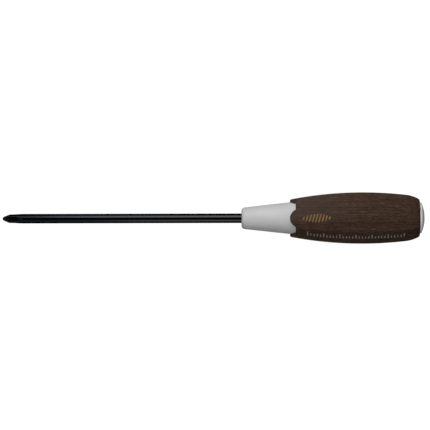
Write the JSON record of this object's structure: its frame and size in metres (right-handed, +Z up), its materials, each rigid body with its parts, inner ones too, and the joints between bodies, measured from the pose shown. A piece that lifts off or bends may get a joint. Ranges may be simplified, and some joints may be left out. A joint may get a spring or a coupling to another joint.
{
  "type": "cross-head screwdriver",
  "caption": "Cross-head screwdriver: a round black steel blade with a cross point in a tapered grey ferrule, and an eight-sided barrel grip of dark wood closed by a domed cap.",
  "frame": {"origin": "bottom centre of the bounding box: on the tool's mid length, under its axis, level with the lowest flat of the grip", "axes": "+X along the tool from the point to the cap, +Y across it, +Z up from the flat it lies on"},
  "size_m": [0.2644, 0.032, 0.032],
  "materials": {
    "black_steel": "black oxide, polished lengthwise, semi-gloss",
    "grey_resin": "satin moulded resin",
    "dark_wood": "dark stained hardwood, fine lengthwise grain, dull oil finish",
    "cap_resin": "satin moulded resin"
  },
  "bodies": {
    "root": {"blade": "black_steel", "ferrule_core": "grey_resin", "wood_grip": "dark_wood", "butt_cap": "cap_resin"}
  },
  "joints": []
}
